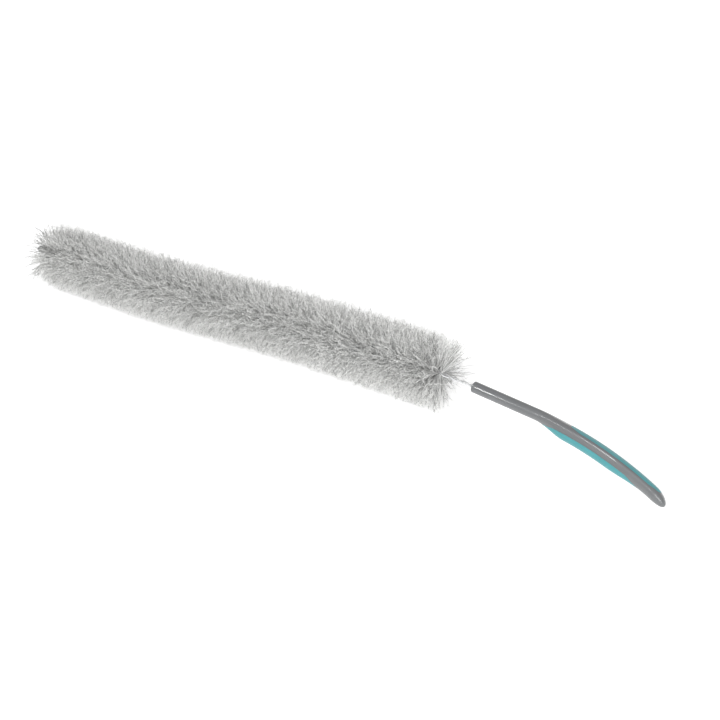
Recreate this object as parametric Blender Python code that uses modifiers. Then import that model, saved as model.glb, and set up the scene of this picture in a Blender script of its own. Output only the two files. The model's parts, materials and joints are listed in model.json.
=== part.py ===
"""Radiator brush: a bristle head gripped between two twisted wires, on a curved two-component handle.

Metres, +Z up. The brush lies on a flat surface at z = 0. The head's axis runs along X and the handle
points to +X. The brush has rolled about the head's axis until the butt of its curved handle rests on
the surface as well.
"""
import math

import bmesh
import bpy
from mathutils import Matrix, Vector

# Bristle head
HEAD_RADIUS = 0.0375            # from the stem's middle line to the bristle tips
HEAD_LENGTH = 0.500             # from the first bristle root to the last
HEAD_SWAY = 0.0037              # how far the long stem wanders sideways
TIP_FAN_LENGTH = 0.036          # end stretch whose bristles lean outwards
TIP_FAN_LEAN = math.radians(42)     # lean of the very last bristles
NECK_FAN_LENGTH = 0.024
NECK_FAN_LEAN = math.radians(30)
LONGEST_BRISTLE = 0.040         # leaning bristles are cut off here if they don't reach the head's radius
BRISTLE_TIP = 0.0010            # thickness of a bristle strand at its tip
FLAT_CUT = 0.0005               # how far the bristles are pressed flat underneath
BRISTLE_SPREAD = math.radians(22)   # how far a strand strays round the stem from its root
SPREAD_STEP = (math.sqrt(5) - 1) / 2    # golden section, so that neighbours stray by unlike amounts

# Pack of bristle roots between the wires
ROOT_REACH = 0.0017             # from the middle line out to where the strands start
ROOT_EDGE = 0.0012              # thickness of the pack there
ROOT_WAIST = 0.0004             # thickness of the pack between the wires

# Twisted stem
WIRE_DIAMETER = 0.0018
LAY_LENGTH = 0.020              # length of one full twist
TWIST_START = math.radians(50)  # how far the bristles have turned from the horizontal at the last root
LAY_POINTS = 8                  # points of the middle line of a wire in one twist
ROOT_TAPER = 0.005              # length over which the wires close up past the bristles
TIP_WIRE = 0.0155               # wire beyond the first bristle root
BARE_STEM = 0.0345              # wire from the last bristle root to the neck
STEM_BEND = math.radians(5.85)
STEM_BEND_LENGTH = 0.050
SOCKET_DEPTH = 0.060            # wire inside the neck

# Tip cap
CAP_WALL = 0.0013
CAP_END_WALL = 0.0025
CAP_BORE_DEPTH = 0.0105
CAP_NOSE = 0.003                # rounding of the closed end
CAP_RIM = 0.0005                # rounding of the open end

# Handle, along its middle line from the front of the neck
NECK_DIAMETER = 0.0108
NECK_LENGTH = 0.067
NECK_RIM = 0.0008               # rounding of the neck's front edge
FLARE_LENGTH = 0.034
BELLY_LENGTH = 0.045
TAIL_LENGTH = 0.047
BUTT_LENGTH = 0.017
STRAIGHT_LENGTH = 0.073         # straight part before the handle curves down
GRIP_BEND_RADIUS = 0.360
GRIP_WIDTH = 0.0198
GRIP_ABOVE = 0.0047             # height of the grip above its middle line
GRIP_BELOW = 0.0110             # depth of the belly below its middle line
BUTT_WIDTH = 0.0156
BUTT_ABOVE = 0.0048
BUTT_BELOW = 0.0072
BUTT_DROP = 0.0022              # how far the tip of the butt lies below the middle line

# Soft pads, measured from the neck's end, and from the grip's middle line to their parting faces
LOWER_PAD_START = 0.009
LOWER_PAD_LENGTH = 0.105
LOWER_PARTING = 0.0050
UPPER_PAD_START = 0.035
UPPER_PAD_LENGTH = 0.098
UPPER_PARTING = 0.0023
PAD_EDGE = 0.0011               # thickness of a pad at its ends
PAD_TAPER = 0.014               # length over which a pad thins towards its ends

CLEARANCE = 0.0003              # gap between touching pieces
CUTTER_MARGIN = 0.005           # how far a cutter runs past what it cuts
WELD_DISTANCE = 0.000001        # corners this close together are one

# Mesh steps
ROUND_SEGMENTS = 24
BORE_SEGMENTS = 16
NOSE_SEGMENTS = 5
GRIP_STEP = 0.006               # about the distance between two sections of the grip
BUTT_SECTIONS = 6

LIGHT_GREY = (0.62, 0.63, 0.62)
STEEL_GREY = (0.60, 0.61, 0.62)
DARK_GREY = (0.065, 0.068, 0.070)
HANDLE_GREY = (0.135, 0.145, 0.152)
TEAL = (0.055, 0.330, 0.375)

# Worked out from the sizes above
PACK_STATIONS = round(HEAD_LENGTH * LAY_POINTS / LAY_LENGTH)
STATION_STEP = HEAD_LENGTH / PACK_STATIONS
CHORD_FACTOR = math.cos(math.pi / LAY_POINTS)
PACK_SLOPE = math.atan((ROOT_EDGE - ROOT_WAIST) / 2 / ROOT_REACH)
BARE_HELIX = (WIRE_DIAMETER + CLEARANCE) / 2 / CHORD_FACTOR
TWIST_SLOPE = math.atan(2 * math.pi * BARE_HELIX / LAY_LENGTH)
WIRE_END_ROOM = CLEARANCE + WIRE_DIAMETER / 2 * math.sin(TWIST_SLOPE)
HEAD_HELIX = ROOT_WAIST / 2 + (WIRE_DIAMETER / 2 + CLEARANCE) / math.cos(PACK_SLOPE) / CHORD_FACTOR
STEM_BORE_RADIUS = (BARE_HELIX + WIRE_DIAMETER / 2 + CLEARANCE) / math.cos(math.pi / BORE_SEGMENTS)
AXIS_HEIGHT = HEAD_RADIUS - FLAT_CUT
GRIP_LENGTH = FLARE_LENGTH + BELLY_LENGTH + TAIL_LENGTH
HANDLE_LENGTH = NECK_LENGTH + GRIP_LENGTH + BUTT_LENGTH


def smooth(value):
    """Ease from 0 to 1, flat at both ends."""
    value = min(max(value, 0.0), 1.0)
    return value * value * (3 - 2 * value)


def blend(start, end, share):
    return start + (end - start) * share


def clear_scene():
    for item in list(bpy.data.objects):
        bpy.data.objects.remove(item, do_unlink=True)


def make_collection(name):
    collection = bpy.data.collections.new(name)
    bpy.context.scene.collection.children.link(collection)
    return collection


def make_material(name, color, roughness, metallic=0.0):
    material = bpy.data.materials.new(name)
    material.use_nodes = True
    shader = material.node_tree.nodes["Principled BSDF"]
    shader.inputs["Base Color"].default_value = (*color, 1.0)
    shader.inputs["Roughness"].default_value = roughness
    shader.inputs["Metallic"].default_value = metallic
    return material


def place(name, data, collection, parent, material):
    item = bpy.data.objects.new(name, data)
    collection.objects.link(item)
    item.parent = parent
    if material:
        data.materials.append(material)
    return item


def mesh_from(bm, name, sharp_angle=40):
    """Turn a bmesh into a smooth-shaded mesh with its normals outwards."""
    bmesh.ops.recalc_face_normals(bm, faces=bm.faces[:])
    mesh = bpy.data.meshes.new(name)
    bm.to_mesh(mesh)
    bm.free()
    mesh.shade_smooth()
    mesh.set_sharp_from_angle(angle=math.radians(sharp_angle))
    return mesh


def add_cut(item, cutter, operation="DIFFERENCE"):
    cut = item.modifiers.new(cutter.name, "BOOLEAN")
    cut.object = cutter
    cut.operation = operation
    cut.solver = "EXACT"


def add_weld(item):
    weld = item.modifiers.new("weld", "WELD")
    weld.merge_threshold = WELD_DISTANCE


def hide_cutter(cutter):
    cutter.hide_render = True
    cutter.display_type = "WIRE"


def stem_point(s, bend_side):
    """Point of the stem's middle line, s past the last bristle root. bend_side is a unit vector."""
    bend_start = BARE_STEM - STEM_BEND_LENGTH
    if s <= bend_start:
        share = min(max(s / HEAD_LENGTH + 1, 0.0), 1.0)
        sway = HEAD_SWAY * math.sin(2 * math.pi * share) * math.sin(math.pi * share)
        return Vector((s, -sway, AXIS_HEIGHT))
    radius = STEM_BEND_LENGTH / STEM_BEND
    turned = min(s - bend_start, STEM_BEND_LENGTH) / radius
    straight = max(s - BARE_STEM, 0.0)
    along = bend_start + radius * math.sin(turned) + straight * math.cos(STEM_BEND)
    aside = radius * (1 - math.cos(turned)) + straight * math.sin(STEM_BEND)
    return Vector((along, 0, AXIS_HEIGHT)) + bend_side * aside


def stem_frame(s, bend_side):
    """Middle point, and the along, side and up directions of the stem at s."""
    step = STATION_STEP / 10
    along = (stem_point(s + step, bend_side) - stem_point(s - step, bend_side)).normalized()
    side = Vector((0, 0, 1)).cross(along).normalized()
    return stem_point(s, bend_side), along, side, along.cross(side)


def twist_directions(s, bend_side):
    """Where the bristles leave the stem at s, and where the first wire lies."""
    middle, along, side, up = stem_frame(s, bend_side)
    angle = TWIST_START + 2 * math.pi * s / (STATION_STEP * LAY_POINTS)
    spread = side * math.cos(angle) + up * math.sin(angle)
    return middle, along, spread, along.cross(spread)


def helix_radius(s):
    """Distance of a wire from the stem's middle line: wider where the bristle roots lie between."""
    past_head = max(s, -HEAD_LENGTH - s, 0.0)
    return blend(HEAD_HELIX, BARE_HELIX, smooth(past_head / ROOT_TAPER))


def wire_points(side, bend_side):
    """Middle line of one wire, from the tip cap to the end of the neck's bore."""
    first = -HEAD_LENGTH - TIP_WIRE
    last = BARE_STEM + SOCKET_DEPTH - WIRE_END_ROOM
    inner = range(math.floor(first / STATION_STEP) + 1, math.ceil(last / STATION_STEP))
    points = []
    for s in [first] + [number * STATION_STEP for number in inner] + [last]:
        middle, _, _, across = twist_directions(s, bend_side)
        points.append(middle + across * side * helix_radius(s))
    return points


def make_wire(name, points, collection, parent, material):
    curve = bpy.data.curves.new(name, "CURVE")
    curve.dimensions = "3D"
    curve.bevel_depth = WIRE_DIAMETER / 2
    curve.bevel_resolution = 2
    curve.use_fill_caps = True
    spline = curve.splines.new("POLY")
    spline.points.add(len(points) - 1)
    for point, position in zip(spline.points, points):
        point.co = (*position, 1.0)
    return place(name, curve, collection, parent, material)


def least_wire_gap(one, other):
    """Least gap between two wires, from the points of one to the lines between those of the other."""
    least = math.inf
    for point in one:
        for start, end in zip(other, other[1:]):
            share = (point - start).dot(end - start) / (end - start).length_squared
            nearest = start.lerp(end, min(max(share, 0.0), 1.0))
            least = min(least, (point - nearest).length)
    return least - WIRE_DIAMETER


def pack_section(s, bend_side):
    """Corners of the root pack at s: thin at the waist between the wires, thick at both edges."""
    middle, _, spread, across = twist_directions(s, bend_side)
    edge = ROOT_EDGE / 2
    waist = ROOT_WAIST / 2
    outline = [(ROOT_REACH, edge), (0, waist), (-ROOT_REACH, edge),
               (-ROOT_REACH, -edge), (0, -waist), (ROOT_REACH, -edge)]
    return [middle + spread * out + across * up for out, up in outline]


def strand_lean(s):
    """Lean of a strand along the stem: towards the nearer end, and only in the fans."""
    from_neck_end = -s
    from_tip_end = HEAD_LENGTH + s
    neck_share = 1 - smooth(from_neck_end / NECK_FAN_LENGTH)
    tip_share = 1 - smooth(from_tip_end / TIP_FAN_LENGTH)
    return NECK_FAN_LEAN * neck_share - TIP_FAN_LEAN * tip_share


def strand_tip(number, s, side, bend_side):
    """Corners of a strand's tip, for the root corners before and after it, below and above it."""
    middle, along, spread, across = twist_directions(s, bend_side)
    stray = BRISTLE_SPREAD * (2 * (number * SPREAD_STEP % 1) - 1)
    radial = Matrix.Rotation(stray, 3, along) @ (spread * side)
    lean = strand_lean(s)
    outwards = radial * math.cos(lean) + along * math.sin(lean)
    over = (across - outwards * across.dot(outwards)).normalized()
    onwards = over.cross(outwards)
    onwards *= math.copysign(1, onwards.dot(along))
    tip = middle + outwards * min(HEAD_RADIUS / math.cos(lean), LONGEST_BRISTLE)
    half = BRISTLE_TIP / 2
    return [tip + onwards * half * ahead + over * half * above
            for ahead, above in ((-1, -1), (-1, 1), (1, 1), (1, -1))]


def make_bristles(bend_side, collection, parent, material):
    """Strands fused to the pack of their roots, which winds between the two wires."""
    bm = bmesh.new()
    stations = [number * STATION_STEP - HEAD_LENGTH for number in range(PACK_STATIONS + 1)]
    rings = [[bm.verts.new(corner) for corner in pack_section(s, bend_side)] for s in stations]
    for ring in (rings[0], rings[-1]):
        bm.faces.new([ring[0], ring[1], ring[4], ring[5]])
        bm.faces.new([ring[1], ring[2], ring[3], ring[4]])
    for number, (near, far) in enumerate(zip(rings, rings[1:])):
        s = stations[number] + STATION_STEP / 2
        for edge, waist in ((0, 1), (3, 4)):            # these two lead the twist, so they split one way
            bm.faces.new([near[edge], near[waist], far[waist]])
            bm.faces.new([near[edge], far[waist], far[edge]])
        for waist, edge in ((1, 2), (4, 5)):            # and these two trail it
            bm.faces.new([near[waist], near[edge], far[edge]])
            bm.faces.new([near[waist], far[edge], far[waist]])
        for lower, upper, side in ((5, 0, 1), (3, 2, -1)):
            root = [near[lower], near[upper], far[upper], far[lower]]
            tip = [bm.verts.new(corner) for corner in strand_tip(number, s, side, bend_side)]
            for corner in range(4):
                after = (corner + 1) % 4
                bm.faces.new([root[corner], root[after], tip[after], tip[corner]])
            bm.faces.new(tip)
    bmesh.ops.recalc_face_normals(bm, faces=bm.faces[:])
    bmesh.ops.triangulate(bm, faces=bm.faces[:])
    bmesh.ops.bisect_plane(bm, geom=bm.verts[:] + bm.edges[:] + bm.faces[:],
                           plane_co=(0, 0, 0), plane_no=(0, 0, -1), clear_outer=True)
    open_edges = [edge for edge in bm.edges if edge.is_boundary]
    bmesh.ops.holes_fill(bm, edges=open_edges, sides=0)
    return place("bristles", mesh_from(bm, "bristles", 20), collection, parent, material)


def make_tip_cap(collection, parent, material):
    """A turned cap over the cut ends of both wires, its nose towards -X."""
    radius = STEM_BORE_RADIUS + CAP_WALL
    length = CAP_BORE_DEPTH + CAP_END_WALL
    profile = [(0, length)]
    for step in range(NOSE_SEGMENTS + 1):
        angle = math.pi / 2 * step / NOSE_SEGMENTS
        profile.append((radius - CAP_NOSE + CAP_NOSE * math.sin(angle),
                        length - CAP_NOSE + CAP_NOSE * math.cos(angle)))
    profile += [(radius, CAP_RIM), (radius - CAP_RIM, 0), (STEM_BORE_RADIUS, 0),
                (STEM_BORE_RADIUS, CAP_BORE_DEPTH), (0, CAP_BORE_DEPTH)]
    mesh = bpy.data.meshes.new("tip_cap")
    mesh.from_pydata([(out, 0, height) for out, height in profile],
                     [(number, number + 1) for number in range(len(profile) - 1)], [])
    cap = place("tip_cap", mesh, collection, parent, material)
    bore_end = -HEAD_LENGTH - TIP_WIRE - WIRE_END_ROOM
    cap.location = (bore_end + CAP_BORE_DEPTH, 0, AXIS_HEIGHT)
    cap.rotation_euler = (0, math.radians(-90), 0)
    turn = cap.modifiers.new("turn", "SCREW")
    turn.steps = BORE_SEGMENTS
    turn.render_steps = BORE_SEGMENTS
    turn.use_merge_vertices = True
    turn.merge_threshold = 0.00001
    turn.use_smooth_shade = True
    return cap


def grip_middle(d):
    """Point of the handle's middle line, and its direction, d from the neck's front."""
    turned = max(d - STRAIGHT_LENGTH, 0.0) / GRIP_BEND_RADIUS
    along = min(d, STRAIGHT_LENGTH) + GRIP_BEND_RADIUS * math.sin(turned)
    drop = GRIP_BEND_RADIUS * (1 - math.cos(turned))
    direction = Vector((math.cos(turned), 0, -math.sin(turned)))
    return Vector((along, 0, -drop)), direction


def grip_size(d):
    """Height above and depth below the middle line, half the width, and drop of the widest line at d."""
    neck = NECK_DIAMETER / 2
    flare = smooth((d - NECK_LENGTH) / FLARE_LENGTH)
    tail = smooth((d - NECK_LENGTH - FLARE_LENGTH - BELLY_LENGTH) / TAIL_LENGTH)
    butt = max(d - NECK_LENGTH - GRIP_LENGTH, 0.0) / BUTT_LENGTH
    rounding = math.sqrt(max(1 - butt * butt, 0.0))
    above = blend(blend(neck, GRIP_ABOVE, flare), BUTT_ABOVE, tail)
    below = blend(blend(neck, GRIP_BELOW, flare), BUTT_BELOW, tail)
    half_width = blend(blend(neck, GRIP_WIDTH / 2, flare), BUTT_WIDTH / 2, tail)
    drop = BUTT_DROP * butt * butt
    return above * rounding - drop, below * rounding + drop, half_width * rounding, drop


def grip_offset_point(d, offset):
    """Point in the handle's middle plane, offset from its middle line at d, up for a plus sign."""
    point, direction = grip_middle(d)
    return point + Vector((-direction.z, 0, direction.x)) * offset


def steps_between(start, end, step):
    count = max(round((end - start) / step), 1)
    return [blend(start, end, number / count) for number in range(count + 1)]


def grip_stations():
    """Distances along the handle where its form has a section."""
    butt_start = NECK_LENGTH + GRIP_LENGTH
    angles = [math.pi / 2 * number / BUTT_SECTIONS for number in range(1, BUTT_SECTIONS)]
    butt = [butt_start + BUTT_LENGTH * math.sin(angle) for angle in angles]
    return steps_between(NECK_LENGTH, butt_start, GRIP_STEP) + butt


def grip_section(d, shrink=0.0):
    """Corners of the handle's outline across its middle line at d, drawn in by shrink."""
    above, below, half_width, drop = grip_size(d)
    corners = []
    for number in range(ROUND_SEGMENTS):
        angle = 2 * math.pi * number / ROUND_SEGMENTS
        height = (above + drop if math.sin(angle) > 0 else below - drop) - shrink
        corner = grip_offset_point(d, height * math.sin(angle) - drop)
        corner.y = (half_width - shrink) * math.cos(angle)
        corners.append(corner)
    return corners


def handle_form():
    """The outer form of the whole handle, as a closed loft of unlike oval sections."""
    bm = bmesh.new()
    corner = NECK_RIM * (1 - math.sqrt(0.5))
    sections = [grip_section(0, NECK_RIM), grip_section(corner, corner), grip_section(NECK_RIM)]
    sections += [grip_section(d) for d in grip_stations()]
    rings = [[bm.verts.new(corner) for corner in section] for section in sections]
    for near, far in zip(rings, rings[1:]):
        for number in range(ROUND_SEGMENTS):
            after = (number + 1) % ROUND_SEGMENTS
            bm.faces.new([near[number], near[after], far[after], far[number]])
    bm.faces.new(rings[0])
    end = bm.verts.new(grip_offset_point(HANDLE_LENGTH, -BUTT_DROP))
    for number in range(ROUND_SEGMENTS):
        bm.faces.new([rings[-1][number], rings[-1][(number + 1) % ROUND_SEGMENTS], end])
    return mesh_from(bm, "handle_form")


def pad_cutter(name, pad_side, start, length, parting, clearance, collection, parent):
    """Side outline of a pad, as wide as the grip and more. A pocket has no clearance, a pad has it."""
    pad_start = NECK_LENGTH + start
    pad_end = pad_start + length
    inner_stations = [d for d in grip_stations() if pad_start < d - clearance and d + clearance < pad_end]
    inner = []
    outer = []
    for d in [pad_start + clearance] + inner_stations + [pad_end - clearance]:
        above, below, _, _ = grip_size(d)
        surface = above if pad_side > 0 else below
        from_end = min(d - pad_start, pad_end - d)
        edge = blend(surface - PAD_EDGE, parting, smooth(from_end / PAD_TAPER))
        inner.append(grip_offset_point(d, pad_side * (edge + clearance)))
        outer.append(grip_offset_point(d, pad_side * (surface + CUTTER_MARGIN)))
    bm = bmesh.new()
    half_width = GRIP_WIDTH / 2 + CUTTER_MARGIN
    outline = [bm.verts.new(point - Vector((0, half_width, 0))) for point in inner + outer[::-1]]
    face = bm.faces.new(outline)
    grown = bmesh.ops.extrude_face_region(bm, geom=[face])["geom"]
    moved = [item for item in grown if isinstance(item, bmesh.types.BMVert)]
    bmesh.ops.translate(bm, verts=moved, vec=(0, 2 * half_width, 0))
    cutter = place(name, mesh_from(bm, name), collection, parent, None)
    hide_cutter(cutter)
    return cutter


def bore_cutter(collection, parent):
    """The blind bore in the neck that holds the stem."""
    bm = bmesh.new()
    length = SOCKET_DEPTH + CUTTER_MARGIN
    turn = Matrix.Translation(((SOCKET_DEPTH - CUTTER_MARGIN) / 2, 0, 0))
    turn @= Matrix.Rotation(math.pi / 2, 4, "Y")
    bmesh.ops.create_cone(bm, cap_ends=True, segments=BORE_SEGMENTS, radius1=STEM_BORE_RADIUS,
                          radius2=STEM_BORE_RADIUS, depth=length, matrix=turn)
    cutter = place("stem_bore", mesh_from(bm, "stem_bore"), collection, parent, None)
    hide_cutter(cutter)
    return cutter


def make_handle(parts, cutters, frame, materials):
    """Handle core with its bore and two pockets, and the two pads that fill the pockets."""
    form = handle_form()
    core = place("handle_core", form.copy(), parts, frame, materials["handle"])
    add_cut(core, bore_cutter(cutters, frame))
    pads = (("lower_grip_pad", -1, LOWER_PAD_START, LOWER_PAD_LENGTH, LOWER_PARTING),
            ("upper_grip_pad", 1, UPPER_PAD_START, UPPER_PAD_LENGTH, UPPER_PARTING))
    for name, side, start, length, parting in pads:
        add_cut(core, pad_cutter(name + "_pocket", side, start, length, parting, 0, cutters, frame))
        pad = place(name, form.copy(), parts, frame, materials["pad"])
        outline = pad_cutter(name + "_outline", side, start, length, parting, CLEARANCE, cutters, frame)
        add_cut(pad, outline, "INTERSECT")
        add_weld(pad)
    add_weld(core)


def rest_roll():
    """Roll about the head's axis at which the handle touches the surface. 0 is with the bend downwards."""
    neck_offset = STEM_BEND_LENGTH / STEM_BEND * (1 - math.cos(STEM_BEND))
    corners = [corner for d in grip_stations() for corner in grip_section(d)]
    reach = [(neck_offset + corner.x * math.sin(STEM_BEND) - corner.z * math.cos(STEM_BEND), corner.y)
             for corner in corners]
    lifted = math.pi / 2
    lowered = 0.0
    for _ in range(40):
        roll = (lifted + lowered) / 2
        lowest = AXIS_HEIGHT - max(drop * math.cos(roll) + aside * math.sin(roll) for drop, aside in reach)
        if lowest > 0:
            lifted = roll
        else:
            lowered = roll
    return lifted


def world_bounds(items):
    """Lowest and highest corner of the evaluated objects."""
    bpy.context.view_layer.update()
    graph = bpy.context.evaluated_depsgraph_get()
    points = []
    for item in items:
        evaluated = item.evaluated_get(graph)
        mesh = evaluated.to_mesh()
        points += [evaluated.matrix_world @ vertex.co for vertex in mesh.vertices]
        evaluated.to_mesh_clear()
    low = Vector(min(point[axis] for point in points) for axis in range(3))
    high = Vector(max(point[axis] for point in points) for axis in range(3))
    return low, high


def main():
    clear_scene()
    parts = make_collection("radiator_brush")
    cutters = make_collection("cutters")
    materials = {
        "bristle": make_material("pale_grey_filament", LIGHT_GREY, 0.55),
        "wire": make_material("galvanised_wire", STEEL_GREY, 0.35, 1.0),
        "cap": make_material("dark_grey_cap", DARK_GREY, 0.5),
        "handle": make_material("grey_handle_plastic", HANDLE_GREY, 0.38),
        "pad": make_material("turquoise_soft_grip", TEAL, 0.6),
    }
    brush = place("brush_origin", None, parts, None, None)

    roll = rest_roll()
    bend_side = Vector((0, -math.sin(roll), -math.cos(roll)))
    make_bristles(bend_side, parts, brush, materials["bristle"])
    wires = [wire_points(side, bend_side) for side in (1, -1)]
    make_wire("stem_wire_1", wires[0], parts, brush, materials["wire"])
    make_wire("stem_wire_2", wires[1], parts, brush, materials["wire"])
    make_tip_cap(parts, brush, materials["cap"])

    frame = place("handle_frame", None, parts, brush, None)
    neck_front = stem_point(BARE_STEM, bend_side)
    forwards = Vector((math.cos(STEM_BEND), 0, 0)) + bend_side * math.sin(STEM_BEND)
    upwards = Vector((math.sin(STEM_BEND), 0, 0)) - bend_side * math.cos(STEM_BEND)
    axes = Matrix((forwards, upwards.cross(forwards), upwards)).transposed()
    frame.matrix_local = Matrix.Translation(neck_front) @ axes.to_4x4()
    make_handle(parts, cutters, frame, materials)

    low, high = world_bounds([item for item in parts.objects if item.type != "EMPTY"])
    brush.location = (-(low.x + high.x) / 2, -(low.y + high.y) / 2, 0)
    bpy.context.view_layer.update()
    print("roll at rest, degrees:", round(math.degrees(roll), 3))
    print("overall size, mm:", [round(1000 * side, 2) for side in high - low])
    on_neck_face = Vector((0, 0, (STEM_BORE_RADIUS + NECK_DIAMETER / 2 - NECK_RIM) / 2))
    print("least gap between the wires, mm:", round(1000 * least_wire_gap(*wires), 3))
    face_point = frame.matrix_world @ on_neck_face
    face_normal = -frame.matrix_world.col[0].xyz
    print("point on the neck's front face:", [round(value, 6) for value in face_point])
    print("its outward normal:", [round(value, 6) for value in face_normal])


main()
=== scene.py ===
import json
import math
import random

import bmesh
import bpy
from mathutils import Matrix, Vector, noise


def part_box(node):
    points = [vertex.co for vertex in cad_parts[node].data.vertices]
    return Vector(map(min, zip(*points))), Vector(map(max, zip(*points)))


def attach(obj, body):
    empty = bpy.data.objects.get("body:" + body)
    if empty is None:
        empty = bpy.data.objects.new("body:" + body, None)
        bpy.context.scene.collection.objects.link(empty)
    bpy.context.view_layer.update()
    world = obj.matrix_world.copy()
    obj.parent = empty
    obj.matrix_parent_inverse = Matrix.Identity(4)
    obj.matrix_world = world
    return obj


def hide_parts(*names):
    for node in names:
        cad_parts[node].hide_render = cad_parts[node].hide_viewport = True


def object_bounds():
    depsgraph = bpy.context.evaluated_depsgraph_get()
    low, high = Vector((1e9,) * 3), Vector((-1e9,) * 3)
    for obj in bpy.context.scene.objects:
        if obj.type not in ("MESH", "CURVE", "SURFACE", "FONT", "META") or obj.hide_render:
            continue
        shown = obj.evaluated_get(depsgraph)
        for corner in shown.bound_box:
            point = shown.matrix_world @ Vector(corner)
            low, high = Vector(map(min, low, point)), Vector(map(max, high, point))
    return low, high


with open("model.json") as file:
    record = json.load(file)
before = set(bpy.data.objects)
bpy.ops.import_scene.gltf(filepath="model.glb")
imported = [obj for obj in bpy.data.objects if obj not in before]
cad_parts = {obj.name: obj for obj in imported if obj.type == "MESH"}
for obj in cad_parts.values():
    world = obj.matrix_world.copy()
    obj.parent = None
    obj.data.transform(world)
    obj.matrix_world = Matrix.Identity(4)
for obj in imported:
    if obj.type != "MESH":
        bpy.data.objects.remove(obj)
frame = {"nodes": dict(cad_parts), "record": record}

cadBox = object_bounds()
scene = bpy.context.scene
print("frame loaded:", ", ".join(sorted(frame["nodes"])))

# The stem's run in metres, as the solids have it. A place on it, s, counts from the last bristle root,
# and is negative along the head
stem = {
    "headLength": 0.500,
    "sideSway": 0.0037,             # to one side and then to the other, along the head
    "axisHeight": 0.0370,
    "layLength": 0.020,             # one full twist
    "twistStart": math.radians(50),     # how far the bristles have turned at the last root
    "bareLength": 0.0345,           # from the last root to the neck
    "bendLength": 0.050,            # the bend ends at the neck
    "bendAngle": math.radians(5.85),
    "lastRootPastCap": 0.518602,    # from the cap's nose to the last root
    "frameStep": 0.0003,            # to either side, to find the stem's direction
}

neckFace = next(mount for mount in frame["record"]["mounts"] if mount["name"] == "neck_front_face")
neckDirection = -Vector(neckFace["axis"]).normalized()
headAxis = Vector((1, 0, 0))
bendSide = (neckDirection - headAxis * neckDirection.x).normalized()
capLow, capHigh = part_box("tip_cap")
capMiddle = (capLow + capHigh) / 2
lastRoot = Vector((capLow.x + stem["lastRootPastCap"], capMiddle.y, stem["axisHeight"]))


def clamp(value, low, high):
    return min(max(value, low), high)


def ease(value):
    value = clamp(value, 0.0, 1.0)
    return value * value * (3 - 2 * value)


def between(start, end, share):
    return start + (end - start) * share


def quarterTurn(steps):
    return [math.pi / 2 * step / steps for step in range(steps + 1)]


def stemPoint(s):
    bendStart = stem["bareLength"] - stem["bendLength"]
    if s <= bendStart:
        share = clamp(s / stem["headLength"] + 1, 0.0, 1.0)
        sway = stem["sideSway"] * math.sin(2 * math.pi * share) * math.sin(math.pi * share)
        return lastRoot + Vector((s, -sway, 0))
    radius = stem["bendLength"] / stem["bendAngle"]
    turned = min(s - bendStart, stem["bendLength"]) / radius
    straight = max(s - stem["bareLength"], 0.0)
    along = bendStart + radius * math.sin(turned) + straight * math.cos(stem["bendAngle"])
    aside = radius * (1 - math.cos(turned)) + straight * math.sin(stem["bendAngle"])
    return lastRoot + headAxis * along + bendSide * aside


def stemFrame(s):
    middle = stemPoint(s)
    along = (stemPoint(s + stem["frameStep"]) - stemPoint(s - stem["frameStep"])).normalized()
    side = Vector((0, 0, 1)).cross(along).normalized()
    angle = stem["twistStart"] + 2 * math.pi * s / stem["layLength"]
    outwards = side * math.cos(angle) + along.cross(side) * math.sin(angle)
    return middle, along, outwards, along.cross(outwards)


def placeInScene(name, data):
    item = bpy.data.objects.new(name, data)
    scene.collection.objects.link(item)
    return item


# Camera: where the photograph was taken from, measured from the last bristle root
camera = {
    "lens": 67.18,
    "sensorWidth": 36,
    "farthest": 30,                 # that it sees
    "right": (0.8395, -0.3018, 0.4519),     # along the head, towards the bend, out of the bend's plane
    "down": (0.2658, 0.9534, 0.1431),
    "forward": (-0.4740, 0.0, 0.8805),
    "lastRootSeen": (0.0767, 0.0130, 1.2563),   # how far right, down and forward of the camera
}


def buildCamera():
    outOfBend = headAxis.cross(bendSide)
    right, down, forward = (headAxis * x + bendSide * y + outOfBend * z
                            for x, y, z in (camera["right"], camera["down"], camera["forward"]))
    x, y, z = camera["lastRootSeen"]
    place = lastRoot - right * x - down * y - forward * z
    data = bpy.data.cameras.new("photoCamera")
    data.lens = camera["lens"]
    data.sensor_width = camera["sensorWidth"]
    data.clip_end = camera["farthest"]
    data.dof.use_dof = False
    item = placeInScene("photoCamera", data)
    item.matrix_world = Matrix.Translation(place) @ Matrix((right, -down, -forward)).transposed().to_4x4()
    scene.camera = item
    return place, right, down, forward


cameraPlace, cameraRight, cameraDown, cameraForward = buildCamera()
print("camera set")


# Materials
def newMaterial(name):
    material = bpy.data.materials.new(name)
    material.use_nodes = True
    nodes, links = material.node_tree.nodes, material.node_tree.links
    return material, nodes, links, nodes["Principled BSDF"]


def feed(links, socket, value):
    if isinstance(value, bpy.types.NodeSocket):
        links.new(value, socket)
    elif isinstance(value, tuple):
        socket.default_value = (*value, 1.0)
    else:
        socket.default_value = value


def mixColours(nodes, links, amount, first, second):
    mix = nodes.new("ShaderNodeMix")
    mix.data_type = "RGBA"
    for number, value in ((0, amount), (6, first), (7, second)):    # the sockets of a colour mix
        feed(links, mix.inputs[number], value)
    return mix.outputs[2]


def mathNode(nodes, links, operation, first, second=0.0):
    node = nodes.new("ShaderNodeMath")
    node.operation = operation
    feed(links, node.inputs[0], first)
    feed(links, node.inputs[1], second)
    return node.outputs[0]


def mapRange(nodes, links, value, fromLow, fromHigh, toLow, toHigh):
    node = nodes.new("ShaderNodeMapRange")
    links.new(value, node.inputs["Value"])
    for name, number in (("From Min", fromLow), ("From Max", fromHigh),
                         ("To Min", toLow), ("To Max", toHigh)):
        node.inputs[name].default_value = number
    return node.outputs["Result"]


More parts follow.
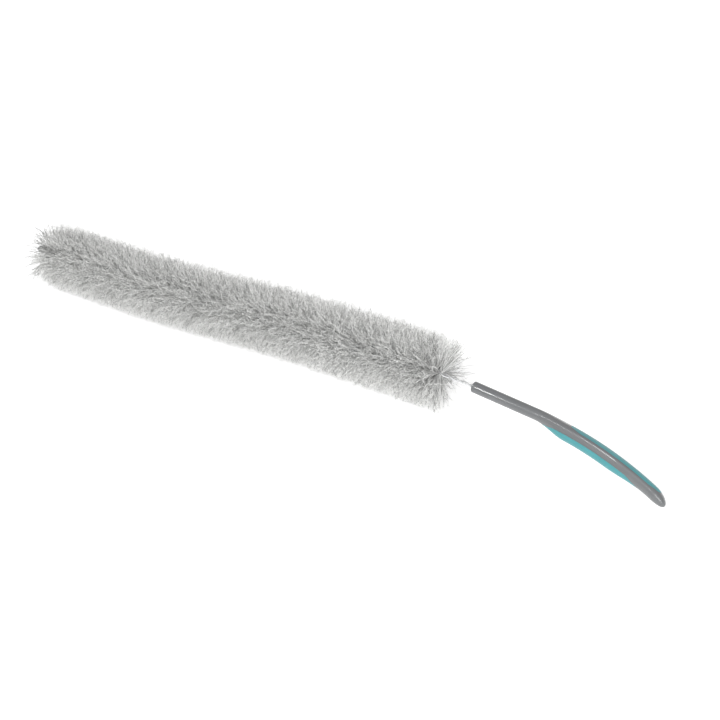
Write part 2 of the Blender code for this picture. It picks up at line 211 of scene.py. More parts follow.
def noiseTexture(nodes, links, coordinates, scale, detail, roughness=0.5):
    node = nodes.new("ShaderNodeTexNoise")
    links.new(coordinates, node.inputs["Vector"])
    feed(links, node.inputs["Scale"], scale)
    node.inputs["Detail"].default_value = detail
    node.inputs["Roughness"].default_value = roughness
    return node.outputs["Fac"]


def bumpNormal(nodes, links, height, strength, depth):
    bump = nodes.new("ShaderNodeBump")
    bump.inputs["Strength"].default_value = strength
    bump.inputs["Distance"].default_value = depth
    links.new(height, bump.inputs["Height"])
    return bump.outputs["Normal"]


# Moulded plastic and rubber: cloudy colour, uneven gloss and a fine grain
moulding = {
    "cloudDetail": 4.0,
    "cloudEdges": (0.35, 0.7),      # where in the noise the cloud starts, and where it is full
    "grainDetail": 2.0,
}


def buildMouldedFinish():
    group = bpy.data.node_groups.new("mouldedFinish", "ShaderNodeTree")
    for name, kind in (("Colour", "Color"), ("Cloud Colour", "Color"), ("Cloud Amount", "Float"),
                       ("Cloud Scale", "Float"), ("Grain Scale", "Float"), ("Roughness", "Float"),
                       ("Roughness Spread", "Float")):
        group.interface.new_socket(name=name, in_out="INPUT", socket_type="NodeSocket" + kind)
    for name, kind in (("Colour", "Color"), ("Roughness", "Float"), ("Height", "Float")):
        group.interface.new_socket(name=name, in_out="OUTPUT", socket_type="NodeSocket" + kind)
    nodes, links = group.nodes, group.links
    given = nodes.new("NodeGroupInput")
    result = nodes.new("NodeGroupOutput")
    coordinates = nodes.new("ShaderNodeTexCoord").outputs["Object"]

    cloud = noiseTexture(nodes, links, coordinates, given.outputs["Cloud Scale"], moulding["cloudDetail"])
    cloudy = mapRange(nodes, links, cloud, *moulding["cloudEdges"], 0.0, 1.0)
    amount = mathNode(nodes, links, "MULTIPLY", cloudy, given.outputs["Cloud Amount"])
    colour = mixColours(nodes, links, amount, given.outputs["Colour"], given.outputs["Cloud Colour"])
    links.new(colour, result.inputs["Colour"])

    unevenness = mathNode(nodes, links, "SUBTRACT", cloud, 0.5)
    dulling = mathNode(nodes, links, "MULTIPLY", unevenness, given.outputs["Roughness Spread"])
    gloss = mathNode(nodes, links, "ADD", given.outputs["Roughness"], dulling)
    links.new(gloss, result.inputs["Roughness"])

    grain = noiseTexture(nodes, links, coordinates, given.outputs["Grain Scale"], moulding["grainDetail"])
    links.new(grain, result.inputs["Height"])
    return group


mouldedFinish = buildMouldedFinish()


def mouldedMaterial(name, look):
    material, nodes, links, shader = newMaterial(name)
    finish = nodes.new("ShaderNodeGroup")
    finish.node_tree = mouldedFinish
    for socket, key in (("Colour", "colour"), ("Cloud Colour", "cloudColour"),
                        ("Cloud Amount", "cloudAmount"), ("Cloud Scale", "cloudScale"),
                        ("Grain Scale", "grainScale"), ("Roughness", "roughness"),
                        ("Roughness Spread", "roughnessSpread")):
        feed(links, finish.inputs[socket], look[key])
    links.new(finish.outputs["Colour"], shader.inputs["Base Color"])
    links.new(finish.outputs["Roughness"], shader.inputs["Roughness"])
    normal = bumpNormal(nodes, links, finish.outputs["Height"], look["grainStrength"], look["grainDepth"])
    links.new(normal, shader.inputs["Normal"])
    for socket, key in (("Sheen Weight", "sheen"), ("Coat Weight", "coat"),
                        ("Coat Roughness", "coatRoughness")):
        if key in look:
            shader.inputs[socket].default_value = look[key]
    return material


def finishPiece(item, node, material=None):
    if material:
        item.data.materials.append(material)
    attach(item, "root")
    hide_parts(node)


meshing = {
    "mergeDistance": 0.000002,
    "sharpAngle": math.radians(35),
}


def meshPiece(bm, name):
    bmesh.ops.remove_doubles(bm, verts=bm.verts[:], dist=meshing["mergeDistance"])
    bmesh.ops.recalc_face_normals(bm, faces=bm.faces[:])
    mesh = bpy.data.meshes.new(name)
    bm.to_mesh(mesh)
    bm.free()
    mesh.shade_smooth()
    mesh.set_sharp_from_angle(angle=meshing["sharpAngle"])
    return placeInScene(name, mesh)


def roundCurve(name, thickness, roundness):
    curve = bpy.data.curves.new(name, "CURVE")
    curve.dimensions = "3D"
    curve.bevel_depth = thickness / 2
    curve.bevel_resolution = roundness
    curve.use_fill_caps = True
    return curve


# Bristle filaments: each leaves the stem from between the wires and ends on the trimmed outline
bristleHead = {
    "seed": 7,
    "filaments": 38500,             # before the ends are thinned
    "bands": 10,                    # stretches of the head, each one piece
    "radius": 0.0373,               # of the trimmed outline
    "uneven": (0.0055, 0.0040),     # how far inside it the shortest end, at the tip and at the neck
    "outerUneven": 0.0065,          # added on the side away from the handle's bend
    "innerLonger": (0.0015, 0.0008),    # how much longer towards the bend, at the tip and at the neck
    "outerLonger": (0.0010, 0.0038),    # and away from it
    "tipShorter": 0.0030,           # off the first turns, twice that away from the bend and none towards it
    "longest": 0.0412,
    "reachAlong": 0.0255,           # the farthest that a filament leans along the stem
    "rootRadius": 0.0004,
    "lowest": 0.00024,              # pressed flat underneath
    "thickness": 0.00036,           # at the root
    "roundness": 0,                 # four sides
    "stations": ((0.0, 1.0), (0.45, 0.95), (0.70, 0.88), (0.86, 0.80), (1.0, 0.65)),    # how far, how thick
    "stray": 26,                    # degrees round the stem, and the most
    "strayLimit": 50,
    "lean": 13,                     # degrees along the stem, at the ends of the head, and the most
    "endLean": 12,
    "leanLimit": 44,
    "neckFan": (8, 0.014),          # degrees at the last root, and over what length
    "tipFan": (12, 0.016),
    "bow": 0.0011,                  # how far a filament bows sideways
    "curl": 0.0046,                 # how far its tip turns aside
    "crimp": 0.0010,                # and how uneven it is along its length
    "tuft": 0.0003,                 # how far neighbouring tips draw together or apart
    "tuftSize": 0.004,
    "endLength": 0.012,             # the first and last turns hold fewer and thicker filaments
    "endThickness": 1.5,            # times as thick as the rest
    "tipKept": 0.36,                # share of the filaments left at the very ends
    "neckKept": 0.55,
    "tipPaintedShadow": 0.32,                # share of those given the dark painted shadow shade
    "neckPaintedShadow": 0.08,
    "capClear": 0.0050,             # filaments this close to the line of sight to the cap are thinned
    "capKept": 0.34,                # share of them left
    "shades": (                     # name, colour, share of the filaments; the grey one is a painted shade
        ("whiteFilament", (0.98, 0.982, 0.966), 0.58),
        ("paleFilament", (0.93, 0.933, 0.918), 0.25),
        ("paintedShadeFilament", (0.46, 0.463, 0.456), 0.17),
    ),
    # painted shadow: the darkest filaments, used only near the ends
    "endShade": ("paintedShadowFilament", (0.22, 0.222, 0.218)),
    "paintedDeepShadeShare": 0.74,              # of the colour kept deep in the pack, as painted shade
    "paintedDeepShadeReach": (0.014, 0.033),    # from the stem, where the painted shade starts to fade and where it has gone
    "paintedEndShadow": (0.36, 0.363, 0.357),      # a painted shadow past the first roots, where single filaments stand out
    "paintedEndShadowShare": 0.9,
    "paintedEndShadowReach": (-0.010, 0.004),      # from the first roots, where the painted shadow is full and where it has gone
    # painted shade: small dark spots standing in for shadowed gaps between filaments
    "paintedShadeSpotScale": 800.0,
    "paintedShadeSpotDetail": 2.0,
    "paintedShadeSpotEdges": (0.34, 0.50),    # where in the noise a painted shade spot ends, and where the colour is full
    "paintedShadeSpotDark": 0.46,             # how much of the colour is left in the darkest painted shade spots
    "roughness": 0.45,
}


def filamentMaterial(name, colour):
    material, nodes, links, shader = newMaterial(name)
    where = nodes.new("ShaderNodeTexCoord").outputs["Object"]
    shift = nodes.new("ShaderNodeMapping")      # measures from the head's middle line
    shift.inputs["Location"].default_value = (0, -lastRoot.y, -lastRoot.z)
    links.new(where, shift.inputs["Vector"])
    parts = nodes.new("ShaderNodeSeparateXYZ")
    links.new(shift.outputs["Vector"], parts.inputs["Vector"])
    squares = [mathNode(nodes, links, "POWER", parts.outputs[axis], 2.0) for axis in ("Y", "Z")]
    reach = mathNode(nodes, links, "SQRT", mathNode(nodes, links, "ADD", *squares))
    # painted shade: the colour darkens towards the stem, deep in the pack
    outer = mapRange(nodes, links, reach, *bristleHead["paintedDeepShadeReach"], 0.0, 1.0)
    # painted shade: dark spots for shadowed gaps between filaments
    spots = noiseTexture(nodes, links, where, bristleHead["paintedShadeSpotScale"], bristleHead["paintedShadeSpotDetail"])
    paintedShadeSpots = mapRange(nodes, links, spots, *bristleHead["paintedShadeSpotEdges"], 0.0, 1.0)
    paintedShadeColour = tuple(part * bristleHead["paintedShadeSpotDark"] for part in colour)
    body = mixColours(nodes, links, paintedShadeSpots, paintedShadeColour, colour)
    body = mixColours(nodes, links, outer, tuple(part * bristleHead["paintedDeepShadeShare"] for part in colour), body)
    # painted shadow on the filaments past the first roots
    firstRoot = lastRoot.x - stem["headLength"]
    full, gone = (firstRoot + away for away in bristleHead["paintedEndShadowReach"])
    paintedEndShadowMask = mapRange(nodes, links, parts.outputs["X"], full, gone, bristleHead["paintedEndShadowShare"], 0.0)
    body = mixColours(nodes, links, paintedEndShadowMask, body, bristleHead["paintedEndShadow"])
    links.new(body, shader.inputs["Base Color"])
    shader.inputs["Roughness"].default_value = bristleHead["roughness"]
    return material


def fanLean(s):
    (neckLean, neckLength), (tipLean, tipLength) = bristleHead["neckFan"], bristleHead["tipFan"]
    towardsNeck = 1 - ease(-s / neckLength)
    towardsTip = 1 - ease((stem["headLength"] + s) / tipLength)
    return neckLean * towardsNeck - tipLean * towardsTip


def looseness(s):
    fromEnd = min(-s, stem["headLength"] + s)
    return 1 - ease(fromEnd / bristleHead["endLength"])


def within(value, limit):
    return clamp(value, -limit, limit)


def anyWay(dice):
    return Vector((dice.gauss(0, 1), dice.gauss(0, 1), dice.gauss(0, 1)))


# The brush is trimmed to a cylinder, and a filament that leans far doesn't reach it
def trimmed(point, middle, along, radius):
    away = point - middle
    straight = away.dot(along)
    outwards = away - along * straight
    if outwards.length > radius:
        outwards *= radius / outwards.length
    reach = outwards + along * within(straight, bristleHead["reachAlong"])
    if reach.length > bristleHead["longest"]:
        reach *= bristleHead["longest"] / reach.length
    point = middle + reach
    inside = bristleHead["thickness"]
    point.y = clamp(point.y, cadBox[0].y + inside, cadBox[1].y - inside)
    point.z = clamp(point.z, bristleHead["lowest"], cadBox[1].z - inside)
    return point


towardsCap = (capMiddle - cameraPlace).normalized()


def nearSightLine(points):
    for start, end in zip(points, points[1:]):
        for share in (0.33, 0.67, 1.0):         # a third of a stretch at a time
            away = start.lerp(end, share) - capMiddle
            if (away - towardsCap * away.dot(towardsCap)).length < bristleHead["capClear"]:
                return True
    return False


def filamentPoints(s, side, dice):
    middle, along, outwards, across = stemFrame(s)
    stray = math.radians(within(dice.gauss(0, bristleHead["stray"]), bristleHead["strayLimit"]))
    lean = fanLean(s) + dice.gauss(0, between(bristleHead["lean"], bristleHead["endLean"], looseness(s)))
    lean = math.radians(within(lean, bristleHead["leanLimit"]))
    radial = (outwards * math.cos(stray) + across * math.sin(stray)) * side
    direction = radial * math.cos(lean) + along * math.sin(lean)
    towardsNeck = 1 + s / stem["headLength"]
    uneven = between(*bristleHead["uneven"], towardsNeck)
    inner = radial.dot(bendSide)                # 1 towards the side that the handle bends to
    if inner > 0:
        radius = bristleHead["radius"] + inner ** 3 * between(*bristleHead["innerLonger"], towardsNeck)
    else:
        radius = bristleHead["radius"] - inner ** 3 * between(*bristleHead["outerLonger"], towardsNeck)
        uneven -= inner ** 3 * bristleHead["outerUneven"]
    radius -= dice.random() * uneven
    if s < -stem["headLength"] / 2:
        radius -= bristleHead["tipShorter"] * looseness(s) * (1 - inner)
    tip = middle + direction * radius / math.cos(lean)
    tip += noise.noise_vector(tip / bristleHead["tuftSize"]) * bristleHead["tuft"]
    bow = anyWay(dice) * bristleHead["bow"]
    curl = anyWay(dice) * bristleHead["curl"]
    start = middle + radial * bristleHead["rootRadius"]
    points = []
    for share, _ in bristleHead["stations"]:
        point = start.lerp(tip, share) + bow * 4 * share * (1 - share) + curl * share ** 3
        point += anyWay(dice) * bristleHead["crimp"] * share
        points.append(trimmed(point, middle, along, radius))
    return points


def buildBristles():
    dice = random.Random(bristleHead["seed"])
    noise.seed_set(bristleHead["seed"])
    materials = [filamentMaterial(name, colour) for name, colour, _ in bristleHead["shades"]]
    materials.append(filamentMaterial(*bristleHead["endShade"]))
    shares = [share for _, _, share in bristleHead["shades"]]
    perBand = bristleHead["filaments"] // bristleHead["bands"]
    bandLength = stem["headLength"] / bristleHead["bands"]
    made = 0
    for band in range(bristleHead["bands"]):
        atTip = band == 0
        kept = bristleHead["tipKept"] if atTip else bristleHead["neckKept"]
        dark = bristleHead["tipPaintedShadow"] if atTip else bristleHead["neckPaintedShadow"]
        name = "bristleBand{:02d}".format(band + 1)
        curve = roundCurve(name, bristleHead["thickness"], bristleHead["roundness"])
        for material in materials:
            curve.materials.append(material)
        for number in range(perBand):
            s = -stem["headLength"] + bandLength * (band + (number + dice.random()) / perBand)
            if dice.random() < (1 - kept) * looseness(s):
                continue
            places = filamentPoints(s, 1 if number % 2 else -1, dice)
            if atTip and nearSightLine(places) and dice.random() > bristleHead["capKept"]:
                continue
            spline = curve.splines.new("POLY")
            spline.points.add(len(bristleHead["stations"]) - 1)
            # each filament's shade is drawn at random; the grey one is a painted shade between filaments
            spline.material_index = dice.choices(range(len(shares)), shares)[0]
            # near the ends some filaments take the painted shadow shade
            if dice.random() < dark * looseness(s):
                spline.material_index = len(shares)
            scale = between(1.0, bristleHead["endThickness"], looseness(s))
            for point, co, (_, thickness) in zip(spline.points, places, bristleHead["stations"]):
                point.co = (*co, 1.0)
                point.radius = thickness * scale
        made += len(curve.splines)
        finishPiece(placeInScene(name, curve), "bristles")
    return made


print("bristles:", buildBristles(), "filaments")


# Twisted stem: two round wires, wider apart where they grip the bristle roots
wires = {
    "diameter": 0.0018,
    "roundness": 3,                 # ten sides
    "bareOffset": 0.001136,         # from the stem's middle line
    "headOffset": 0.001549,
    "taper": 0.005,                 # they close up over this length past the roots
    "pointsPerLay": 24,
    "start": -0.5155,
    "end": 0.0939,
    "colour": (0.63, 0.635, 0.64),
    "spangle": (0.75, 0.755, 0.76),
    "spangleScale": 900.0,
    "stainScale": 120.0,
    "stainDetail": 4.0,
    "stainRoughness": 0.6,
    "stainEdges": (0.3, 0.7),       # where in the noise a stain starts, and where it is full
    "roughness": (0.50, 0.72),      # clean and stained
    "stainStrength": 0.25,
    "stainDepth": 0.00005,
}


def wireMaterial():
    material, nodes, links, shader = newMaterial("galvanisedWire")
    where = nodes.new("ShaderNodeTexCoord").outputs["Object"]
    flakes = nodes.new("ShaderNodeTexVoronoi")
    flakes.inputs["Scale"].default_value = wires["spangleScale"]
    links.new(where, flakes.inputs["Vector"])
    flake = nodes.new("ShaderNodeRGBToBW")
    links.new(flakes.outputs["Color"], flake.inputs["Color"])
    colour = mixColours(nodes, links, flake.outputs["Val"], wires["colour"], wires["spangle"])
    links.new(colour, shader.inputs["Base Color"])
    stain = noiseTexture(nodes, links, where, wires["stainScale"], wires["stainDetail"],
                         wires["stainRoughness"])
    links.new(mapRange(nodes, links, stain, *wires["stainEdges"], *wires["roughness"]),
              shader.inputs["Roughness"])
    links.new(bumpNormal(nodes, links, stain, wires["stainStrength"], wires["stainDepth"]),
              shader.inputs["Normal"])
    shader.inputs["Metallic"].default_value = 1.0
    return material


def buildWire(name, node, side, material):
    curve = roundCurve(name, wires["diameter"], wires["roundness"])
    spline = curve.splines.new("POLY")
    count = round((wires["end"] - wires["start"]) / stem["layLength"] * wires["pointsPerLay"])
    spline.points.add(count)
    for number, point in enumerate(spline.points):
        s = between(wires["start"], wires["end"], number / count)
        middle, _, _, across = stemFrame(s)
        pastHead = max(s, -stem["headLength"] - s, 0.0)
        offset = between(wires["headOffset"], wires["bareOffset"], ease(pastHead / wires["taper"]))
        point.co = (*(middle + across * side * offset), 1.0)
    finishPiece(placeInScene(name, curve), node, material)


wireFinish = wireMaterial()
buildWire("stemWireOne", "stem_wire_1", 1, wireFinish)
buildWire("stemWireTwo", "stem_wire_2", -1, wireFinish)
print("stem wires twisted")


# Tip cap: a soft moulded cap over the cut wire ends
tipCap = {
    "radius": 0.00368,
    "length": 0.013,
    "boreRadius": 0.00238,
    "boreDepth": 0.0105,
    "nose": 0.003,
    "rim": 0.0005,
    "grooveAt": 0.0042,             # a shallow ring near the open end
    "grooveDepth": 0.00025,         # its outline gives place and share of this depth
    "groove": ((0.0006, 0), (0.0003, 0.7), (0, 1), (-0.0003, 0.7), (-0.0006, 0)),
    "noseSteps": 12,
    "rimSteps": 6,
    "sides": 48,
    "look": {
        "colour": (0.070, 0.073, 0.076), "cloudColour": (0.21, 0.215, 0.218), "cloudAmount": 0.8,
        "cloudScale": 700.0, "grainScale": 2600.0, "roughness": 0.48, "roughnessSpread": 0.2,
        "grainStrength": 0.4, "grainDepth": 0.00008,
    },
}


def buildTipCap():
    radius, length, rim, nose = (tipCap[key] for key in ("radius", "length", "rim", "nose"))
    outline = [(0, length)]
    for angle in quarterTurn(tipCap["noseSteps"]):
        outline.append((radius - nose + nose * math.sin(angle), length - nose + nose * math.cos(angle)))
    for away, depth in tipCap["groove"]:
        outline.append((radius - tipCap["grooveDepth"] * depth, tipCap["grooveAt"] + away))
    for angle in quarterTurn(tipCap["rimSteps"]):
        outline.append((radius - rim + rim * math.cos(angle), rim - rim * math.sin(angle)))
    bore, depth = tipCap["boreRadius"], tipCap["boreDepth"]
    outline += [(bore, 0), (bore, depth), (0, depth)]
    bm = bmesh.new()
    corners = [bm.verts.new((out, 0, height)) for out, height in outline]
    edges = [bm.edges.new(pair) for pair in zip(corners, corners[1:])]
    bmesh.ops.spin(bm, geom=corners + edges, axis=(0, 0, 1), cent=(0, 0, 0), angle=2 * math.pi,
                   steps=tipCap["sides"], use_merge=True)
    mouth = Vector((capHigh.x, capMiddle.y, stem["axisHeight"]))
    bmesh.ops.transform(bm, verts=bm.verts[:],
                        matrix=Matrix.Translation(mouth) @ Matrix.Rotation(-math.pi / 2, 4, "Y"))
    material = mouldedMaterial("darkCapPlastic", tipCap["look"])
    finishPiece(meshPiece(bm, "tipCap"), "tip_cap", material)


buildTipCap()
print("tip cap turned")


# Handle: every section is an oval about a middle line that runs straight and then bends down
handle = {
    "neckRadius": 0.0054,
    "neckLength": 0.067,
    "neckRim": 0.0008,
    "flareLength": 0.034,
    "bellyLength": 0.045,
    "tailLength": 0.047,
    "buttLength": 0.0169,
    "straightLength": 0.073,
    "bendRadius": 0.360,
    "halfWidth": 0.0099,            # of the grip, and how far it reaches above and below its middle line
    "above": 0.0047,
    "below": 0.0110,
    "buttHalfWidth": 0.0078,        # the same where the butt starts
    "buttAbove": 0.0048,
    "buttBelow": 0.00715,
    "buttDrop": 0.0022,             # how far its end points down
    "boreRadius": 0.00238,
    "boreDepth": 0.0603,
    "step": 0.0022,                 # between sections
    "rimSteps": 5,
    "buttSteps": 20,
    "sideCorners": 14,              # corners of a section between the two partings, on each side
    "padCorners": 20,               # corners across a pad's pocket
    "pocketDepth": 0.0010,
    "pocketSlope": 0.00005,         # to either side of a pocket's end
    "partingGap": 0.00012,
    "look": {
        "colour": (0.112, 0.117, 0.121), "cloudColour": (0.136, 0.141, 0.145), "cloudAmount": 0.5,
        "cloudScale": 60.0, "grainScale": 2200.0, "roughness": 0.55, "roughnessSpread": 0.06,
        "grainStrength": 0.10, "grainDepth": 0.00005, "coat": 0.8, "coatRoughness": 0.12,
    },
}

# Soft pads, from the neck's end. The parting is how far from the middle line a pad's edges lie
pads = {
    "lower": {"start": 0.009, "length": 0.105, "parting": 0.0050, "side": -1},
    "upper": {"start": 0.035, "length": 0.098, "parting": 0.0023, "side": 1},
    "edge": 0.0011,                 # how deep the edges lie below the crown, near a pad's ends
    "edgeRange": (0.05, 0.98),      # shares of the section's height that the edges keep between
    "taper": 0.014,                 # from an end, how far the edges take to reach the parting
    "roundEnd": 0.0030,
    "endSteps": 6,
    "endWidth": 0.12,               # of the full width, at the very end
    "acrossSteps": 24,              # over the outside, and over the inside
    "gapEasing": 0.001,             # softens how the parting gap turns into an angle
    "thickness": 0.0008,
    "softEdge": 0.00022,
    "softSteps": 3,
    "softFrom": math.radians(50),
    "look": {
        "colour": (0.045, 0.250, 0.272), "cloudColour": (0.060, 0.290, 0.312), "cloudAmount": 0.6,
        "cloudScale": 90.0, "grainScale": 1700.0, "roughness": 0.55, "roughnessSpread": 0.12,
        "grainStrength": 0.35, "grainDepth": 0.00012, "sheen": 0.15,
    },
}

neckFront = stemPoint(stem["bareLength"])
handleUp = headAxis * math.sin(stem["bendAngle"]) - bendSide * math.cos(stem["bendAngle"])
handlePlace = Matrix.Translation(neckFront) @ Matrix(
    (neckDirection, handleUp.cross(neckDirection), handleUp)).transposed().to_4x4()
stretches = ("neckLength", "flareLength", "bellyLength", "tailLength", "buttLength")
handleEnd = sum(handle[key] for key in stretches)


# d counts from the front of the neck
def handlePoint(d, offset, aside=0.0):
    turned = max(d - handle["straightLength"], 0.0) / handle["bendRadius"]
    along = min(d, handle["straightLength"]) + handle["bendRadius"] * math.sin(turned)
    along += offset * math.sin(turned)
    drop = handle["bendRadius"] * (1 - math.cos(turned))
    return handlePlace @ Vector((along, aside, offset * math.cos(turned) - drop))


def handleSize(d):
    flare = ease((d - handle["neckLength"]) / handle["flareLength"])
    tailStart = handle["neckLength"] + handle["flareLength"] + handle["bellyLength"]
    tail = ease((d - tailStart) / handle["tailLength"])
    butt = clamp((d - tailStart - handle["tailLength"]) / handle["buttLength"], 0.0, 1.0)
    rounding = math.sqrt(1 - butt * butt)
    neck = handle["neckRadius"]
    above = between(between(neck, handle["above"], flare), handle["buttAbove"], tail)
    below = between(between(neck, handle["below"], flare), handle["buttBelow"], tail)
    halfWidth = between(between(neck, handle["halfWidth"], flare), handle["buttHalfWidth"], tail)
    return above * rounding, below * rounding, halfWidth * rounding, handle["buttDrop"] * butt * butt


def padRange(pad):
    start = handle["neckLength"] + pad["start"]
    return start, start + pad["length"]


def inRange(d, pad):
    start, end = padRange(pad)
    return start < d < end


# Stations close together where a pad or its pocket rounds off at both ends
def padEnds(pad, inset):
    start, end = padRange(pad)
    steps = [pads["roundEnd"] * (1 - math.cos(angle)) for angle in quarterTurn(pads["endSteps"])[1:]]
    return [start + inset + away for away in steps] + [end - inset - away for away in steps]


# How far up or down the oval a pad's edges lie, as an angle from its sides
def partingAngle(d, pad):
    above, below, _, drop = handleSize(d)
    height = above if pad["side"] > 0 else below
    start, end = padRange(pad)
    fromEnd = min(d - start, end - d)
    crown = height - drop * pad["side"]
    edge = between(crown - pads["edge"], pad["parting"], ease(fromEnd / pads["taper"]))
    angle = math.asin(clamp((edge + drop * pad["side"]) / height, *pads["edgeRange"]))
    if fromEnd < pads["roundEnd"]:
        short = 1 - max(fromEnd, 0.0) / pads["roundEnd"]
        width = max(math.sqrt(1 - short ** 2), pads["endWidth"])
        angle = math.pi / 2 - (math.pi / 2 - angle) * width
    return angle


def surfacePoint(d, angle, sunk=0.0):
    above, below, halfWidth, drop = handleSize(d)
    height = above if math.sin(angle) > 0 else below
    return handlePoint(d, (height - sunk) * math.sin(angle) - drop, (halfWidth - sunk) * math.cos(angle))


def spread(start, end, count):
    return [between(start, end, number / count) for number in range(count)]


def sectionAngles(d):
    upper = partingAngle(d, pads["upper"])
    lower = partingAngle(d, pads["lower"])
    return (spread(-lower, upper, handle["sideCorners"])
            + spread(upper, math.pi - upper, handle["padCorners"])
            + spread(math.pi - upper, math.pi + lower, handle["sideCorners"])
            + spread(math.pi + lower, 2 * math.pi - lower, handle["padCorners"]))


def coreSection(d, sunkUpper, sunkLower, rim=0.0):
    corners = []
    sides, across = handle["sideCorners"], handle["padCorners"]
    for number, angle in enumerate(sectionAngles(d)):
        sunk = rim
        if sides < number < sides + across:
            sunk += sunkUpper
        elif number > 2 * sides + across:
            sunk += sunkLower
        corners.append(surfacePoint(d, angle, sunk))
    return corners


def coreStations():
    rim, step, slope = handle["neckRim"], handle["step"], handle["pocketSlope"]
    buttStart = handleEnd - handle["buttLength"]
    stations = [rim + step * number for number in range(1, int((buttStart - rim) / step))]
    for angle in quarterTurn(handle["buttSteps"])[:-1]:
        stations.append(buttStart + handle["buttLength"] * math.sin(angle))
    for pad in (pads["lower"], pads["upper"]):
        stations += padEnds(pad, 0.0)
        for edge in padRange(pad):
            stations += [edge - slope, edge + slope]
    return sorted(stations)


def buildLoft(sections):
    bm = bmesh.new()
    rings = []
    for section in sections:
        corners = [bm.verts.new(corner) for corner in section]
        edges = [bm.edges.new((corners[number - 1], corners[number])) for number in range(len(corners))]
        if rings:
            bmesh.ops.bridge_loops(bm, edges=rings[-1] + edges)
        rings.append(edges)
    return bm, rings


def buildHandleCore():
    sections = []
    for angle in quarterTurn(handle["rimSteps"]):
        d, rim = (handle["neckRim"] * (1 - share) for share in (math.cos(angle), math.sin(angle)))
        sections.append(coreSection(d, 0, 0, rim))
    for d in coreStations():
        upper, lower = (handle["pocketDepth"] * inRange(d, pads[name]) for name in ("upper", "lower"))
        sections.append(coreSection(d, upper, lower))
    bm, rings = buildLoft(sections)
    bmesh.ops.holes_fill(bm, edges=rings[-1], sides=0)
    # the neck's front is a flat ring round the bore
    bore = bmesh.ops.create_circle(bm, segments=len(rings[0]), radius=handle["boreRadius"],
                                   cap_ends=False)["verts"]
    bmesh.ops.transform(bm, verts=bore, matrix=handlePlace @ Matrix.Rotation(math.pi / 2, 4, "Y"))
    boreRing = list(dict.fromkeys(edge for corner in bore for edge in corner.link_edges))
    bmesh.ops.bridge_loops(bm, edges=rings[0] + boreRing)
    deeper = bmesh.ops.extrude_edge_only(bm, edges=boreRing)["geom"]
    deepCorners = [item for item in deeper if isinstance(item, bmesh.types.BMVert)]
    bmesh.ops.translate(bm, verts=deepCorners, vec=neckDirection * handle["boreDepth"])
    deepRing = [item for item in deeper if isinstance(item, bmesh.types.BMEdge)
                and item.verts[0] in deepCorners and item.verts[1] in deepCorners]
    bmesh.ops.holes_fill(bm, edges=deepRing, sides=0)
    material = mouldedMaterial("greyHandlePlastic", handle["look"])
    finishPiece(meshPiece(bm, "handleCore"), "handle_core", material)


def buildPad(name, node, pad, material):
    start, end = padRange(pad)
    gap = handle["partingGap"]
    count = round((end - start) / handle["step"])
    full = end - start - 2 * pads["roundEnd"]
    stations = [start + pads["roundEnd"] + full * number / count for number in range(1, count)]
    sections = []
    for d in sorted(stations + padEnds(pad, gap)):
        parting = partingAngle(d, pad)
        _, _, halfWidth, _ = handleSize(d)
        first = parting + gap / (halfWidth * math.sin(parting) + pads["gapEasing"])
        angles = [pad["side"] * between(first, math.pi - first, number / pads["acrossSteps"])
                  for number in range(pads["acrossSteps"] + 1)]
        outer = [surfacePoint(d, angle) for angle in angles]
        inner = [surfacePoint(d, angle, pads["thickness"]) for angle in reversed(angles)]
        sections.append(outer + inner)
    bm, rings = buildLoft(sections)
    for ring in (rings[0], rings[-1]):
        bmesh.ops.holes_fill(bm, edges=ring, sides=0)
    item = meshPiece(bm, name)
    soften = item.modifiers.new("softEdge", "BEVEL")
    soften.width = pads["softEdge"]
    soften.segments = pads["softSteps"]
    soften.limit_method = "ANGLE"
    soften.angle_limit = pads["softFrom"]
    finishPiece(item, node, material)


buildHandleCore()
padFinish = mouldedMaterial("turquoiseSoftGrip", pads["look"])
buildPad("lowerGripPad", "lower_grip_pad", pads["lower"], padFinish)
buildPad("upperGripPad", "upper_grip_pad", pads["upper"], padFinish)
print("handle core and grip pads lofted")


# Floor and light
studio = {
    "floorSize": 8.0,
    "floorColour": 0.80,
    "floorRoughness": 0.9,
    "floorGlow": 0.50,              # which lights nothing, and shows only to the camera, mirrors and glass
    "worldStrength": 0.67,
    "worldMirrored": 0.6,           # how bright reflections see it, where that is more
    "aimPastRoot": 0.03,            # the lamps point at the stem this far past the last root
    "softboxes": (
        # name, place from the camera's own axes (right, up, back), size, power
        ("neckSoftbox", (-0.934, 0.412, -0.314), (0.055, 0.17), 2.3),
        ("gripSoftbox", (-0.808, 0.295, 0.009), (0.20, 0.16), 3.2),
        ("flareSoftbox", (-0.958, 0.748, -0.573), (0.17, 0.16), 2.4),
        ("frontSoftbox", (0.1, -0.35, 0.1), (1.2, 0.6), 13.5),
    ),
}


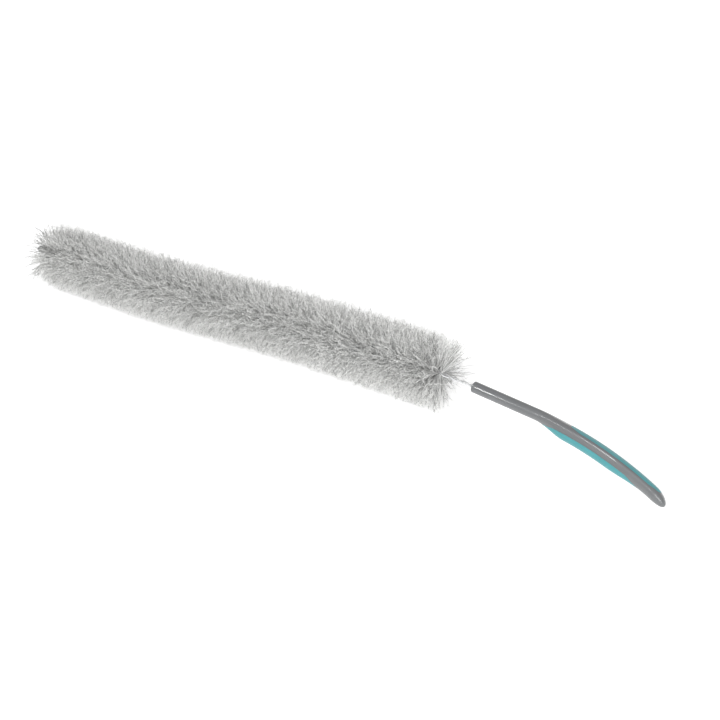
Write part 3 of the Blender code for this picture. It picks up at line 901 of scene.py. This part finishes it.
def buildFloor():
    bm = bmesh.new()
    bmesh.ops.create_grid(bm, x_segments=1, y_segments=1, size=studio["floorSize"] / 2)
    mesh = bpy.data.meshes.new("studioFloor")
    bm.to_mesh(mesh)
    bm.free()
    floor = placeInScene("studioFloor", mesh)
    material, nodes, links, shader = newMaterial("whiteSweep")
    shader.inputs["Base Color"].default_value = (studio["floorColour"],) * 3 + (1,)
    shader.inputs["Roughness"].default_value = studio["floorRoughness"]
    shader.inputs["Specular IOR Level"].default_value = 0.0
    rays = nodes.new("ShaderNodeLightPath").outputs
    seen = mathNode(nodes, links, "MAXIMUM", rays["Is Camera Ray"], rays["Is Glossy Ray"])
    seen = mathNode(nodes, links, "MAXIMUM", seen, rays["Is Transmission Ray"])
    glow = mathNode(nodes, links, "MULTIPLY", seen, studio["floorGlow"])
    shader.inputs["Emission Color"].default_value = (1, 1, 1, 1)
    links.new(glow, shader.inputs["Emission Strength"])
    mesh.materials.append(material)


def buildLights():
    world = bpy.data.worlds.new("studioWorld")
    world.use_nodes = True
    nodes, links = world.node_tree.nodes, world.node_tree.links
    rays = nodes.new("ShaderNodeLightPath").outputs
    seen = mathNode(nodes, links, "MAXIMUM", rays["Is Camera Ray"], rays["Is Transmission Ray"])
    mirrored = mathNode(nodes, links, "MULTIPLY", rays["Is Glossy Ray"], studio["worldMirrored"])
    whiteness = mathNode(nodes, links, "MAXIMUM", seen, mirrored)
    strength = mathNode(nodes, links, "MAXIMUM", whiteness, studio["worldStrength"])
    background = nodes["Background"]
    background.inputs["Color"].default_value = (1, 1, 1, 1)
    links.new(strength, background.inputs["Strength"])
    scene.world = world
    centre = lastRoot + headAxis * studio["aimPastRoot"]
    for name, (right, up, back), (width, height), power in studio["softboxes"]:
        data = bpy.data.lights.new(name, "AREA")
        data.shape = "RECTANGLE"
        data.size = width
        data.size_y = height
        data.energy = power
        lamp = placeInScene(name, data)
        lamp.location = cameraPlace + cameraRight * right - cameraDown * up - cameraForward * back
        facing = (lamp.location - centre).normalized()
        longSide = (neckDirection - facing * neckDirection.dot(facing)).normalized()    # along the handle
        lamp.rotation_euler = Matrix((longSide, facing.cross(longSide), facing)).transposed().to_euler()


buildFloor()
buildLights()
scene.view_settings.view_transform = "Standard"
print("studio lit")
